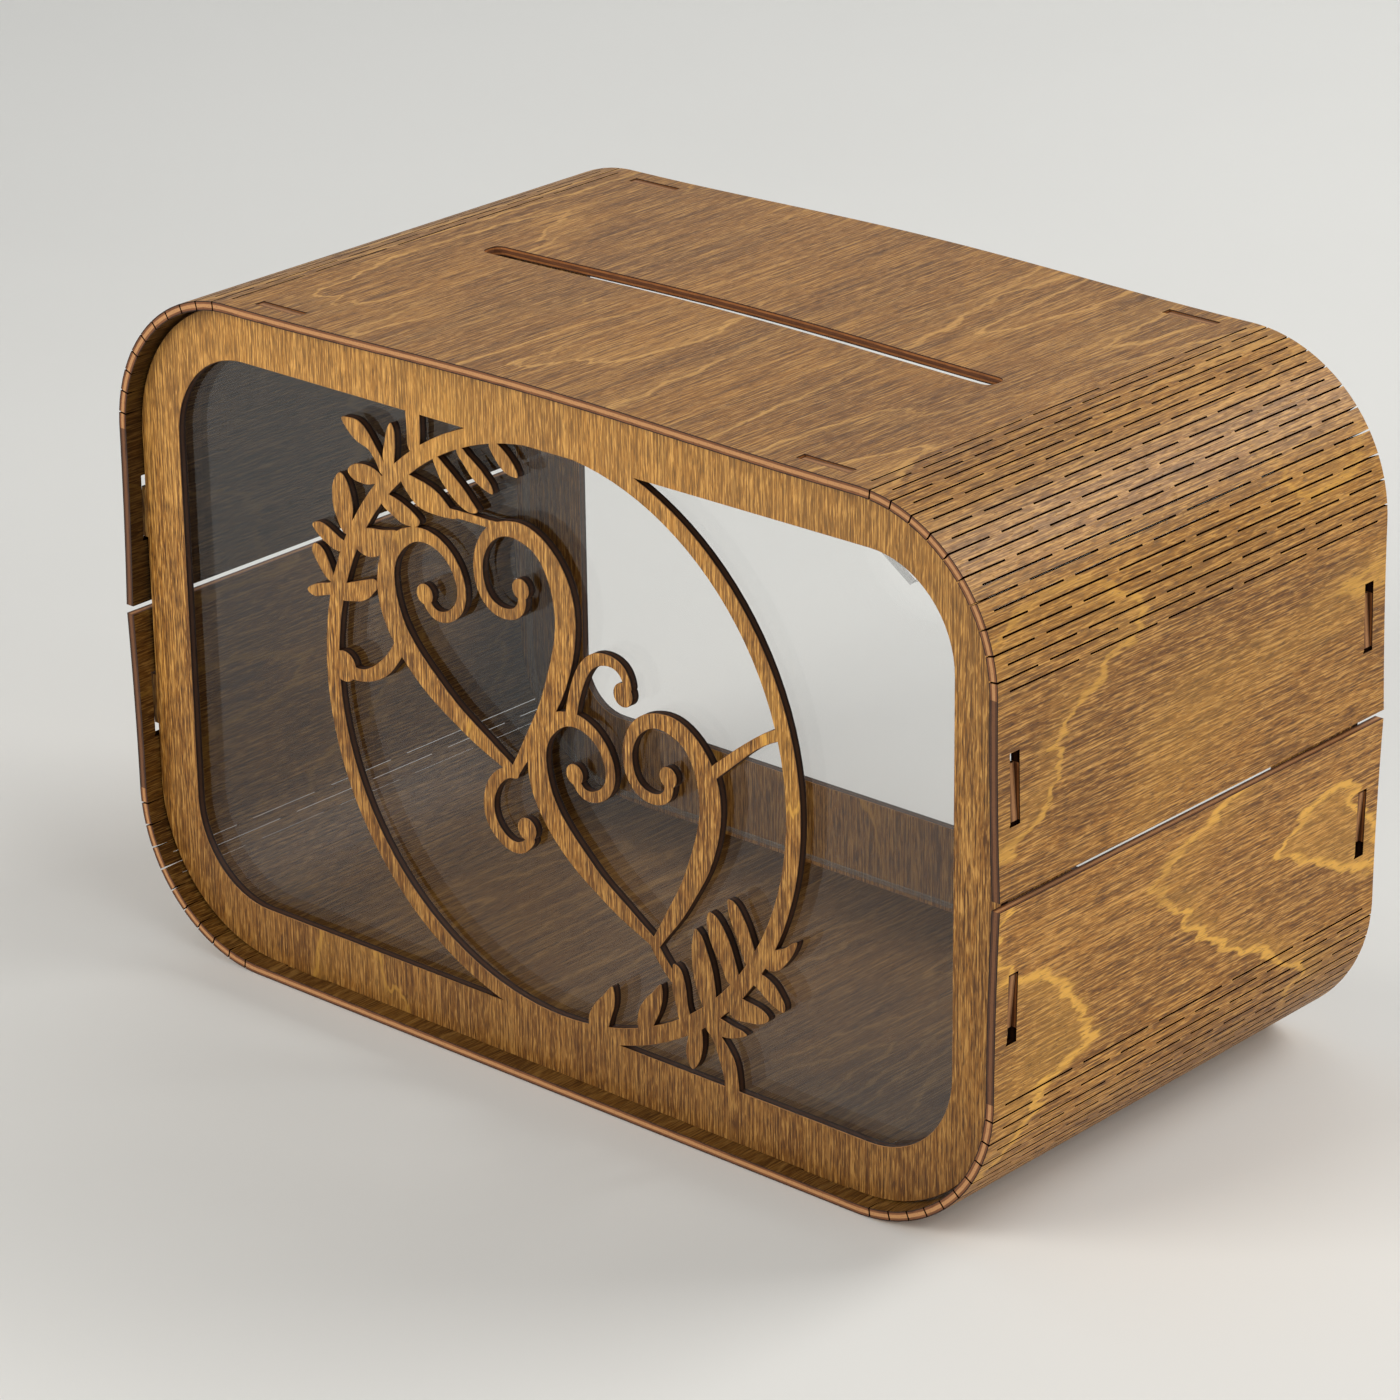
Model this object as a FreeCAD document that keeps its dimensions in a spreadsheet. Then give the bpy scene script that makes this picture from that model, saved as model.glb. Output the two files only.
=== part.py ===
import FreeCAD, Part
import Sketcher
import math
import os

# Card box of 3 mm plywood: two bent half-shells with living-hinge corners, a fretwork
# front, a plain back frame, and a clear pane behind each.
# Frame: origin at the bottom centre, +X along the width, +Y to the back, +Z up. Millimetres.

V = FreeCAD.Vector
os.makedirs("parts", exist_ok=True)
doc = FreeCAD.newDocument("card_box")

# ---------------------------------------------------------------- driving dimensions
sheet = doc.addObject("Spreadsheet::Sheet", "dims")
cells = [
    ("width", 345.0),            # over the side flaps
    ("depth", 180.0),            # front edge to back edge of the shell
    ("height", 220.0),           # table to top
    ("ply", 3.0),                # plywood thickness
    ("pane", 3.0),               # clear pane thickness
    ("bend_r", 50.0),            # outside radius of the living-hinge corners
    ("seam", 2.8),               # open seam between the half-shells
    ("panel_inset", 6.2),        # shell edge to the face of the front and back panels
    ("rail", 17.0),              # front panel rail, shell wall to window
    ("window_r", 30.0),          # front window corner radius
    ("back_rail", 29.0),         # back frame rail, shell wall to window
    ("back_window_r", 16.0),     # back window corner radius
    ("side_play", 0.3),          # panel edge to side flap
    ("tab_len", 17.2),           # top and bottom tabs
    ("tab_pos", 106.4),          # top and bottom tabs, centre to centre line
    ("slot_play", 0.15),         # clearance round the top and bottom tabs
    ("side_slot_w", 4.2),        # side slots
    ("side_slot_lo", 22.0),      # side slot ends, from mid height
    ("side_slot_hi", 43.5),
    ("side_tab_lo", 23.0),       # side tab ends, from mid height
    ("side_tab_hi", 39.5),
    ("side_tab_out", 3.2),       # side tab length at its catch end
    ("side_tab_in", 1.7),        # side tab length at its ramp end
    ("card_len", 200.0),         # card slot
    ("card_w", 8.0),
    ("kerf", 0.3),               # cut between the hinge sections
    ("hinge_first", 15.0),       # bend angle at the first, second and third hinge line
    ("hinge_mid", 45.0),
    ("hinge_last", 75.0),
    ("ring_x", 3.0),             # wreath ring
    ("ring_z", 111.5),
    ("ring_ro", 94.5),
    ("ring_ri", 89.0),
]
for row, (name, value) in enumerate(cells, start=1):
    sheet.set("A%d" % row, name)
    sheet.set("B%d" % row, repr(value))
    sheet.setAlias("B%d" % row, name)
doc.recompute()


def dim(name):
    return float(sheet.get(name))


W, D, H = dim("width"), dim("depth"), dim("height")
T, R = dim("ply"), dim("bend_r")
MID = H / 2.0
CX = W / 2.0 - R            # bend centres, from the middle
CZ_UP, CZ_LO = H - R, R


# ---------------------------------------------------------------- helpers
def plane(body, role):
    return [f for f in body.Origin.OriginFeatures if f.Role == role][0]


def new_body(name):
    body = doc.addObject("PartDesign::Body", name)
    body.Label = name
    return body


def new_sketch(body, name, role):
    sk = body.newObject("Sketcher::SketchObject", name)
    sk.AttachmentSupport = [(plane(body, role), "")]
    sk.MapMode = "FlatFace"
    return sk


def pin_point(sk, geo, pos, axis, value, expr):
    """Ties one coordinate of a point to an expression. The distance is kept positive."""
    kind = "DistanceX" if axis == 0 else "DistanceY"
    if value >= 0:
        n = sk.addConstraint(Sketcher.Constraint(kind, -1, 1, geo, pos, value))
        sk.setExpression("Constraints[%d]" % n, expr)
    else:
        n = sk.addConstraint(Sketcher.Constraint(kind, geo, pos, -1, 1, -value))
        sk.setExpression("Constraints[%d]" % n, "-(%s)" % expr)


def rect(sk, lo_x, hi_x, lo_y, hi_y):
    """A rectangle; each side is (value, expression) in the sketch's own axes."""
    x0, x1, y0, y1 = lo_x[0], hi_x[0], lo_y[0], hi_y[0]
    pts = [V(x0, y0, 0), V(x1, y0, 0), V(x1, y1, 0), V(x0, y1, 0)]
    g = [sk.addGeometry(Part.LineSegment(pts[i], pts[(i + 1) % 4]), False) for i in range(4)]
    for i in range(4):
        sk.addConstraint(Sketcher.Constraint("Coincident", g[i], 2, g[(i + 1) % 4], 1))
    sk.addConstraint(Sketcher.Constraint("Horizontal", g[0]))
    sk.addConstraint(Sketcher.Constraint("Horizontal", g[2]))
    sk.addConstraint(Sketcher.Constraint("Vertical", g[1]))
    sk.addConstraint(Sketcher.Constraint("Vertical", g[3]))
    pin_point(sk, g[0], 1, 0, x0, lo_x[1])
    pin_point(sk, g[1], 2, 0, x1, hi_x[1])
    pin_point(sk, g[0], 1, 1, y0, lo_y[1])
    pin_point(sk, g[1], 2, 1, y1, hi_y[1])


def quad(sk, pts):
    """A four-sided tab outline with fixed corners."""
    pts = [V(p[0], p[1], 0) for p in pts]
    g = [sk.addGeometry(Part.LineSegment(pts[i], pts[(i + 1) % 4]), False) for i in range(4)]
    for i in range(4):
        sk.addConstraint(Sketcher.Constraint("Coincident", g[i], 2, g[(i + 1) % 4], 1))


def pad(body, sk, name, expr, symmetric=False):
    f = body.newObject("PartDesign::Pad", name)
    f.Profile = sk
    f.setExpression("Length", expr)
    if symmetric:
        f.Midplane = True
    sk.Visibility = False
    return f


def pocket_all(body, sk, name):
    f = body.newObject("PartDesign::Pocket", name)
    f.Profile = sk
    f.Type = "ThroughAll"
    f.Midplane = True
    return f


def edges_along_y(shape, test):
    found = []
    for i, e in enumerate(shape.Edges, start=1):
        a, b = e.Vertexes[0].Point, e.Vertexes[-1].Point
        if abs(a.x - b.x) < 1e-6 and abs(a.z - b.z) < 1e-6 and abs(a.y - b.y) > 1e-3 and test(a):
            found.append("Edge%d" % i)
    return found


def num(v, expr):
    return (v, expr)


# ---------------------------------------------------------------- half-shell sections
def sector(name, x_sign, upper, start, stop, trim_start, trim_stop):
    """A slice of a bent corner: part of a tube of the sheet's thickness, along the depth.
    start and stop are bend angles, 0 at the flat top or bottom and 90 at the side."""
    outer = doc.addObject("Part::Cylinder", name + "_outer")
    inner = doc.addObject("Part::Cylinder", name + "_inner")
    outer.setExpression("Radius", "dims.bend_r")
    inner.setExpression("Radius", "dims.bend_r - dims.ply")
    gap = math.degrees(dim("kerf") / 2.0 / R)
    a0 = start + (gap if trim_start else 0.0)
    a1 = stop - (gap if trim_stop else 0.0)
    for c in (outer, inner):
        c.setExpression("Height", "dims.depth")
        c.Angle = a1 - a0
    inner.Angle = 360
    cut = doc.addObject("Part::Cut", name)
    cut.Base, cut.Tool = outer, inner
    # The tube's own axis is laid along the depth. Bend angle a points to
    # (sin a, cos a) in the X-Z plane, mirrored for the left and lower corners.
    if x_sign > 0 and upper:
        lo = 90.0 - a1
    elif x_sign < 0 and upper:
        lo = 90.0 + a0
    elif x_sign < 0:
        lo = 270.0 - a1
    else:
        lo = 270.0 + a0
    turn = FreeCAD.Rotation(V(1, 0, 0), 90).multiply(FreeCAD.Rotation(V(0, 0, 1), lo))
    place = FreeCAD.Placement(V(x_sign * CX, D / 2.0, CZ_UP if upper else CZ_LO), turn)
    outer.Placement = place
    inner.Placement = place
    return cut


def plate(name, x0, x1, z0, z1, ex0, ex1, ez0, ez1):
    """A flat piece of the bent sheet, full depth, drawn as its section."""
    body = new_body(name)
    sk = new_sketch(body, name + "_section", "XZ_Plane")
    rect(sk, num(x0, ex0), num(x1, ex1), num(z0, ez0), num(z1, ez1))
    pad(body, sk, name + "_sheet", "dims.depth", symmetric=True)
    return body


PANEL_MID = D / 2.0 - dim("panel_inset") - T / 2.0      # panel mid plane, from the middle
E_MID = "(dims.depth / 2 - dims.panel_inset - dims.ply / 2)"


def tab_slots(sk):
    """Four slots for the tabs of the front and back panels."""
    half = dim("tab_len") / 2.0 + dim("slot_play")
    e_half = "dims.tab_len / 2 + dims.slot_play"
    hw = T / 2.0 + dim("slot_play")
    e_hw = "dims.ply / 2 + dims.slot_play"
    for sx in (-1, 1):
        for sy in (-1, 1):
            cx, cy = sx * dim("tab_pos"), sy * PANEL_MID
            ecx, ecy = "%d * dims.tab_pos" % sx, "%d * %s" % (sy, E_MID)
            rect(sk,
                 num(cx - half, "%s - (%s)" % (ecx, e_half)), num(cx + half, "%s + %s" % (ecx, e_half)),
                 num(cy - hw, "%s - (%s)" % (ecy, e_hw)), num(cy + hw, "%s + %s" % (ecy, e_hw)))


def flat_panel(name, upper):
    """Top or bottom of the shell with the first part of its bends."""
    if upper:
        body = plate(name + "_flat", -CX, CX, H - T, H,
                     "-(dims.width / 2 - dims.bend_r)", "dims.width / 2 - dims.bend_r",
                     "dims.height - dims.ply", "dims.height")
    else:
        body = plate(name + "_flat", -CX, CX, 0.0, T,
                     "-(dims.width / 2 - dims.bend_r)", "dims.width / 2 - dims.bend_r",
                     "0", "dims.ply")
    sk = new_sketch(body, name + "_tab_slots", "XY_Plane")
    tab_slots(sk)
    doc.recompute()
    before = body.Shape.Volume
    pocket_all(body, sk, name + "_tab_cut")
    doc.recompute()
    want = 4 * (dim("tab_len") + 2 * dim("slot_play")) * (T + 2 * dim("slot_play")) * T
    assert abs(before - body.Shape.Volume - want) < 0.01 * want, "tab slots not cut"
    if upper:
        sk = new_sketch(body, name + "_card_slot", "XY_Plane")
        hl, hw = dim("card_len") / 2.0, dim("card_w") / 2.0
        rect(sk, num(-hl, "-dims.card_len / 2"), num(hl, "dims.card_len / 2"),
             num(-hw, "-dims.card_w / 2"), num(hw, "dims.card_w / 2"))
        before = body.Shape.Volume
        cut = pocket_all(body, sk, name + "_card_cut")
        doc.recompute()
        assert before - body.Shape.Volume > 2900, "card slot not cut"
        ends = [
            "Edge%d" % i for i, e in enumerate(cut.Shape.Edges, start=1)
            if abs(abs(e.Vertexes[0].Point.x) - hl) < 1e-6 and abs(abs(e.Vertexes[0].Point.y) - hw) < 1e-6
            and abs(e.Vertexes[0].Point.z - e.Vertexes[-1].Point.z) > 1.0
        ]
        assert len(ends) == 4
        fil = body.newObject("PartDesign::Fillet", name + "_card_ends")
        fil.Base = (cut, ends)
        fil.setExpression("Radius", "dims.card_w * 0.4")
        body.Tip = fil
        doc.recompute()
    first = dim("hinge_first")
    right = sector(name + "_bend_right", 1, upper, 0.0, first, False, True)
    left = sector(name + "_bend_left", -1, upper, 0.0, first, False, True)
    whole = doc.addObject("Part::MultiFuse", name)
    whole.Shapes = [body, right, left]
    whole.Refine = True
    whole.Label = name
    return whole


def side_flap(name, x_sign, upper):
    """Side of one half-shell: the end of the bend, then flat down or up to the seam."""
    xo, xi = W / 2.0, W / 2.0 - T
    eo, ei = "dims.width / 2", "dims.width / 2 - dims.ply"
    if x_sign > 0:
        xs = (xi, xo, ei, eo)
    else:
        xs = (-xo, -xi, "-(%s)" % eo, "-(%s)" % ei)
    if upper:
        zs = (MID + dim("seam") / 2.0, CZ_UP, "dims.height / 2 + dims.seam / 2", "dims.height - dims.bend_r")
        z_lo, z_hi = MID + dim("side_slot_lo"), MID + dim("side_slot_hi")
        ez_lo, ez_hi = "dims.height / 2 + dims.side_slot_lo", "dims.height / 2 + dims.side_slot_hi"
    else:
        zs = (CZ_LO, MID - dim("seam") / 2.0, "dims.bend_r", "dims.height / 2 - dims.seam / 2")
        z_lo, z_hi = MID - dim("side_slot_hi"), MID - dim("side_slot_lo")
        ez_lo, ez_hi = "dims.height / 2 - dims.side_slot_hi", "dims.height / 2 - dims.side_slot_lo"
    body = plate(name + "_flat", xs[0], xs[1], zs[0], zs[1], xs[2], xs[3], zs[2], zs[3])
    sk = new_sketch(body, name + "_slots", "YZ_Plane")
    hw = dim("side_slot_w") / 2.0
    for sy in (-1, 1):
        c, ec = sy * PANEL_MID, "%d * %s" % (sy, E_MID)
        rect(sk, num(c - hw, ec + " - dims.side_slot_w / 2"), num(c + hw, ec + " + dims.side_slot_w / 2"),
             num(z_lo, ez_lo), num(z_hi, ez_hi))
    doc.recompute()
    before = body.Shape.Volume
    pocket_all(body, sk, name + "_slot_cut")
    doc.recompute()
    want = 2 * dim("side_slot_w") * (z_hi - z_lo) * T
    assert abs(before - body.Shape.Volume - want) < 0.01 * want, "side slots not cut"
    bend = sector(name + "_bend", x_sign, upper, dim("hinge_last"), 90.0, True, False)
    whole = doc.addObject("Part::MultiFuse", name)
    whole.Shapes = [body, bend]
    whole.Refine = True
    whole.Label = name
    return whole


# ---------------------------------------------------------------- front and back panels
def panel_outline(name):
    """Rounded sheet that fits inside the shell, with its tabs, lying in the X-Z plane
    and going from y = 0 towards the front by its thickness."""
    body = new_body(name)
    hx = W / 2.0 - T - dim("side_play")
    e_hx = "dims.width / 2 - dims.ply - dims.side_play"
    sk = new_sketch(body, name + "_outline", "XZ_Plane")
    rect(sk, num(-hx, "-(%s)" % e_hx), num(hx, e_hx),
         num(T, "dims.ply"), num(H - T, "dims.height - dims.ply"))
    base = pad(body, sk, name + "_sheet", "dims.ply")
    doc.recompute()
    fil = body.newObject("PartDesign::Fillet", name + "_corners")
    fil.Base = (base, edges_along_y(base.Shape, lambda p: True))
    fil.setExpression("Radius", "dims.bend_r - 1")
    body.Tip = fil
    doc.recompute()
    # Tabs for the slots in the top and bottom.
    sk = new_sketch(body, name + "_tabs_flat", "XZ_Plane")
    hl = dim("tab_len") / 2.0
    for sx in (-1, 1):
        c, ec = sx * dim("tab_pos"), "%d * dims.tab_pos" % sx
        rect(sk, num(c - hl, ec + " - dims.tab_len / 2"), num(c + hl, ec + " + dims.tab_len / 2"),
             num(H - T - 1.0, "dims.height - dims.ply - 1"), num(H - 0.1, "dims.height - 0.1"))
        rect(sk, num(c - hl, ec + " - dims.tab_len / 2"), num(c + hl, ec + " + dims.tab_len / 2"),
             num(0.1, "0.1"), num(T + 1.0, "dims.ply + 1"))
    pad(body, sk, name + "_tab_pad", "dims.ply")
    # Side tabs: full length at the catch end beside the seam, ramped at the far end.
    sk = new_sketch(body, name + "_tabs_side", "XZ_Plane")
    lo, hi = dim("side_tab_lo"), dim("side_tab_hi")
    out, inn = dim("side_tab_out"), dim("side_tab_in")
    for sx in (-1, 1):
        for sz in (-1, 1):
            quad(sk, [(sx * (hx - 2.0), MID + sz * lo), (sx * (hx + out), MID + sz * lo),
                      (sx * (hx + inn), MID + sz * hi), (sx * (hx - 2.0), MID + sz * hi)])
    pad(body, sk, name + "_side_tab_pad", "dims.ply")
    doc.recompute()
    return body


def window(body, name, rail_alias, r_alias):
    hx = W / 2.0 - T - dim(rail_alias)
    e_hx = "dims.width / 2 - dims.ply - dims.%s" % rail_alias
    z0, z1 = T + dim(rail_alias), H - T - dim(rail_alias)
    sk = new_sketch(body, name + "_window", "XZ_Plane")
    rect(sk, num(-hx, "-(%s)" % e_hx), num(hx, e_hx),
         num(z0, "dims.ply + dims.%s" % rail_alias), num(z1, "dims.height - dims.ply - dims.%s" % rail_alias))
    before = body.Shape.Volume
    cut = pocket_all(body, sk, name + "_window_cut")
    doc.recompute()
    assert before - body.Shape.Volume > 0.99 * 2 * hx * (z1 - z0) * T, "window not cut"
    fil = body.newObject("PartDesign::Fillet", name + "_window_corners")
    fil.Base = (cut, edges_along_y(cut.Shape, lambda p: abs(abs(p.x) - hx) < 1e-6))
    fil.setExpression("Radius", "dims.%s" % r_alias)
    body.Tip = fil
    doc.recompute()
    return body


# ---------------------------------------------------------------- wreath ornament
# Leaf outlines as (x, z) points, each rooted in the ring.
LEAVES_UPPER_LEFT = [
    [(-88, 138.2), (-92.5, 136.8), (-96.5, 135.2), (-98.6, 133.2), (-96.5, 131.9), (-92.5, 132.6), (-88, 134.2), (-85.5, 136.5)],
    [(-87.4, 141.8), (-89.6, 146), (-92, 148.6), (-94.6, 149.1), (-95.9, 147.6), (-94.6, 144.2), (-92, 140.8), (-89.3, 138.6), (-86, 138)],
    [(-82.3, 153), (-85.5, 154.3), (-90, 156.3), (-94.2, 156), (-95.2, 155.2), (-93.8, 153), (-91, 151), (-87.5, 149.4), (-83.8, 148.9), (-80.5, 150.5)],
    [(-77.9, 161), (-77.6, 165), (-78.4, 169), (-80, 172.6), (-82.3, 174.4), (-84.6, 172.6), (-86.2, 168), (-85.8, 162.5), (-83.8, 158), (-81.8, 155.5), (-77.5, 156.5)],
    [(-65.3, 177.6), (-69.5, 179.2), (-74, 179.1), (-77.8, 177.6), (-79.1, 175.7), (-77.8, 174), (-74.5, 173.1), (-70.5, 173.2), (-66.5, 174.5), (-63, 175.5)],
    [(-63.5, 181.8), (-66.5, 185.4), (-69.2, 188.8), (-71.6, 191.3), (-74.5, 192.7), (-77.5, 192.8), (-81, 191.8), (-79.5, 189.5), (-77, 187.2), (-73.8, 185.5), (-70.4, 184.5), (-68.2, 182.6), (-66.4, 180), (-65, 177.9), (-61, 178.6)],
    [(-59.3, 183.5), (-58.8, 187.5), (-58.8, 191), (-59.4, 193.8), (-60.3, 194.8), (-61.4, 193.8), (-62.7, 190.3), (-63.6, 186.5), (-63.7, 182), (-60.5, 180)],
    [(-48.6, 190), (-48.2, 194), (-48.2, 197.5), (-48.8, 202), (-51, 203.5), (-53.4, 202), (-53.9, 197), (-53.7, 192.5), (-53.2, 188.5), (-50.5, 186.8)],
    [(-83, 139), (-79.5, 140.2), (-75.5, 141.7), (-71.5, 143.2), (-69, 143.4), (-68.1, 142.2), (-69.3, 139.8), (-72, 137), (-76, 134.8), (-80, 134), (-84.5, 133.8), (-86, 137)],
    [(-73.5, 158.8), (-69.5, 159.8), (-65, 160.3), (-61.5, 161.2), (-58.8, 161.1), (-59.4, 158.9), (-62.5, 155.3), (-66.5, 152), (-70.5, 150.3), (-74, 150.4), (-77.2, 152.2), (-78, 156)],
    [(-62.3, 172.2), (-58.5, 171.4), (-54.5, 169.9), (-51, 168), (-49.6, 166.3), (-50.5, 164.9), (-53.5, 164.1), (-57.5, 164.4), (-61.5, 166.2), (-65.4, 168.6), (-66.5, 172)],
    [(-53.8, 180.5), (-48.5, 179.6), (-43.5, 178.2), (-39.5, 175.9), (-36.5, 173.3), (-34.3, 171.3), (-37.5, 170.4), (-43, 170.2), (-48, 170.6), (-52, 172.3), (-55, 175.2), (-56.8, 177.6), (-57, 181)],
    [(-41.2, 188.6), (-38.3, 186.6), (-34.3, 183.6), (-30.3, 180.4), (-27.3, 177.3), (-25.7, 175.2), (-27.2, 174.4), (-30.5, 174.5), (-34.2, 176.2), (-38, 179.2), (-41, 182.6), (-42.6, 185.6), (-43.4, 188), (-42.5, 190.5)],
    [(-31.3, 193.6), (-28.3, 191.4), (-24.3, 188.8), (-21.3, 186.2), (-19.3, 183.4), (-19.2, 182.3), (-21.7, 182.4), (-25.2, 183.8), (-28.8, 186.4), (-31.4, 189.3), (-33.6, 192.6), (-32.5, 195.5)],
    [(-17.3, 198.4), (-14, 196.3), (-11.2, 193.8), (-9.3, 191), (-9.1, 189.7), (-11, 189.3), (-14.3, 190), (-17.2, 192.3), (-19.4, 195), (-20.4, 197), (-19, 200)],
]
LEAVES_LOWER_RIGHT = [
    [(86.3, 69), (89, 70), (92, 71.7), (94.5, 73.7), (95.7, 74.2), (95.2, 71.8), (93.5, 68.6), (91, 65.3), (88, 62.9), (83.5, 62.8)],
    [(70.3, 80.2), (72.5, 79.6), (75, 77), (77, 73.6), (78.8, 69.5), (80, 66.3), (80.8, 62.5), (76.8, 61.5), (74.6, 65.5), (72.6, 69.7), (70.8, 73.6), (69.7, 77.4)],
    [(63, 74), (65.2, 73.2), (68, 70.2), (70.5, 66), (72.2, 61.5), (73.5, 57.7), (73.5, 53.5), (69.8, 53.5), (67.5, 57.5), (65, 61), (62.8, 65), (61.6, 69.5), (61.8, 72.6)],
    [(57.6, 67), (59.3, 65.6), (61.3, 61.8), (63, 57.5), (64.2, 52.5), (64.8, 47.5), (64, 43.5), (60.5, 42.5), (58.5, 45.5), (56.8, 49.5), (55.8, 54.5), (55.5, 60), (56.2, 64.8)],
    [(48.8, 53.3), (50.6, 52.7), (52.3, 49.8), (53.3, 45.5), (54, 40.5), (54.8, 35.8), (51.7, 34.8), (49.3, 39.5), (47.9, 44.8), (47.7, 49), (48, 52)],
    [(43.6, 44.6), (43.9, 41.5), (43.2, 37.5), (41.8, 34), (40.3, 31), (38.5, 27), (35, 26.5), (33.8, 31), (34.8, 35), (37.3, 38.8), (40.5, 42.2)],
    [(24.3, 38), (24.8, 35), (24.3, 31), (23, 27.5), (21.8, 23.5), (19.5, 20.5), (15, 21), (14, 25), (15.3, 28.5), (17.8, 32), (20.8, 35.2)],
    [(58.9, 37), (59.4, 32.5), (59.2, 28.5), (58.2, 25), (56.6, 22.4), (55.3, 21.5), (53.8, 23), (52.8, 26), (53.2, 29.5), (54, 32.5), (54.6, 36)],
    [(66, 36.4), (69, 33.2), (71.5, 29.8), (72.8, 25.5), (73.3, 21), (72.8, 17.5), (70.5, 16), (68.4, 17.5), (67.8, 21), (66.7, 25.5), (65, 30), (63, 34), (60, 38), (62.5, 40.8)],
    [(64.5, 41.6), (68.5, 40.9), (72.5, 40.2), (75.5, 39.7), (76.6, 39.1), (75, 38), (71.5, 36.4), (67.5, 35.6), (63.5, 36.3), (61, 39.5)],
    [(74, 50.3), (77.5, 49.9), (81, 49.4), (84, 48.2), (85.1, 46.9), (83.8, 45.2), (80.3, 43.7), (76, 43.1), (71.5, 43), (68.8, 46)],
    [(81.3, 60.3), (84.5, 59.7), (87.5, 58), (89.8, 55.3), (91.2, 52.2), (90.8, 50.8), (88, 51), (84.5, 52.6), (81.5, 54.8), (78.5, 56.5), (77, 59.5)],
]


def at(x, z):
    return V(x, 0, z)


def flat_face(edges):
    return Part.Face(Part.Wire(edges))


def blob(points):
    """A face inside one smooth closed curve."""
    c = Part.BSplineCurve()
    c.interpolate(Points=[at(*p) for p in points], PeriodicFlag=True)
    return flat_face([c.toShape()])


def disc(x, z, r):
    return flat_face([Part.Circle(at(x, z), V(0, 1, 0), r).toShape()])


def smooth_line(points, count):
    """Evenly spread samples of a smooth curve through points, as (x, z, half width)."""
    c = Part.BSplineCurve()
    c.interpolate(Points=[at(p[0], p[1]) for p in points])
    par = [c.parameter(at(p[0], p[1])) for p in points]
    out = []
    for i in range(count):
        s = i * (len(points) - 1) / (count - 1.0)
        k = min(int(s), len(points) - 2)
        f = s - k
        u = par[k] + f * (par[k + 1] - par[k])
        w = points[k][2] + (points[k + 1][2] - points[k][2]) * (f * f * (3 - 2 * f))
        p, t = c.value(u), c.tangent(u)[0]
        out.append((p, V(-t.z, 0, t.x), w))
    return out


def stroke(points, count=15):
    """A pen stroke of changing width through (x, z, half width) points, round at both ends."""
    s = smooth_line(points, count)
    left = [p + n * w for p, n, w in s]
    right = [p - n * w for p, n, w in s]
    a, b = Part.BSplineCurve(), Part.BSplineCurve()
    a.interpolate(Points=left)
    b.interpolate(Points=right)
    p0, n0, w0 = s[0]
    p1, n1, w1 = s[-1]
    t0 = V(n0.z, 0, -n0.x)
    t1 = V(n1.z, 0, -n1.x)
    start = Part.Arc(right[0], p0 - t0 * w0, left[0]).toShape()
    end = Part.Arc(left[-1], p1 + t1 * w1, right[-1]).toShape()
    return flat_face([a.toShape(), end, b.toShape(), start])


def turned(points, cx, cz, scale, angle, flip=1):
    c, s = math.cos(math.radians(angle)), math.sin(math.radians(angle))
    out = []
    for x, z, w in points:
        x, z = x * flip * scale, z * scale
        out.append((cx + x * c - z * s, cz + x * s + z * c, w))
    return out


# One side of a scrolled heart, from its point round the lobe and into the curl.
HEART_SIDE = [(0.0, -34.0, 1.7), (13.0, -22.0, 2.9), (27.0, -5.0, 4.0), (33.5, 13.0, 4.1), (27.5, 29.0, 3.1),
              (14.5, 32.5, 2.2), (4.6, 23.5, 1.9), (6.5, 12.0, 1.8), (14.8, 9.8, 1.7), (18.6, 16.2, 1.6)]


def heart(cx, cz, scale, angle):
    faces = []
    for flip in (1, -1):
        pts = turned(HEART_SIDE, cx, cz, scale, angle, flip)
        faces.append(stroke(pts, 31))
        faces.append(disc(pts[-1][0], pts[-1][1], 3.3))
    return faces


FLOURISHES = [
    # tie from the first heart's lobe to the wreath ring, with its ball
    [(-58.5, 128.0, 2.2), (-66.0, 116.5, 2.4), (-76.0, 111.0, 2.0), (-86.5, 113.0, 2.6)],
    # fine tie from a leaf tip to the top of the first heart's lobe
    [(-42.0, 171.6, 1.4), (-32.0, 172.6, 1.3), (-21.0, 172.6, 1.3), (-11.0, 173.6, 1.6)],
    # long fine tie from the second heart to the ring
    [(60.5, 114.5, 2.0), (70.0, 122.3, 1.8), (80.0, 130.5, 1.6), (90.5, 136.6, 1.8)],
    # free curl above the crossing
    [(9.5, 119.5, 2.2), (12.8, 132.0, 2.2), (19.5, 140.6, 2.0), (28.0, 141.2, 1.7), (32.2, 135.4, 1.6)],
    # free curl at the first heart's point
    [(-13.6, 96.2, 1.7), (-22.8, 90.0, 2.1), (-24.0, 79.5, 2.2), (-15.8, 72.4, 1.9), (-7.8, 76.2, 1.6)],
    # short tail from the second heart's point to the lower leaves
    [(41.2, 56.8, 1.7), (45.6, 51.2, 1.8), (51.0, 46.5, 1.6)],
]
BALLS = [(-84.0, 112.0, 5.0), (30.4, 132.6, 3.7), (-9.2, 79.4, 3.7)]


def fretwork():
    cx, cz = dim("ring_x"), dim("ring_z")
    ring = disc(cx, cz, dim("ring_ro")).cut(disc(cx, cz, dim("ring_ri")))
    faces = [blob(p) for p in LEAVES_UPPER_LEFT + LEAVES_LOWER_RIGHT]
    faces += heart(-24.0, 132.5, 1.10, 16.0) + heart(33.0, 91.0, 1.02, 14.0)
    faces += [stroke(p) for p in FLOURISHES]
    faces += [disc(*b) for b in BALLS]
    flat = ring.multiFuse(faces).removeSplitter()
    return flat.extrude(V(0, -T, 0))


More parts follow.
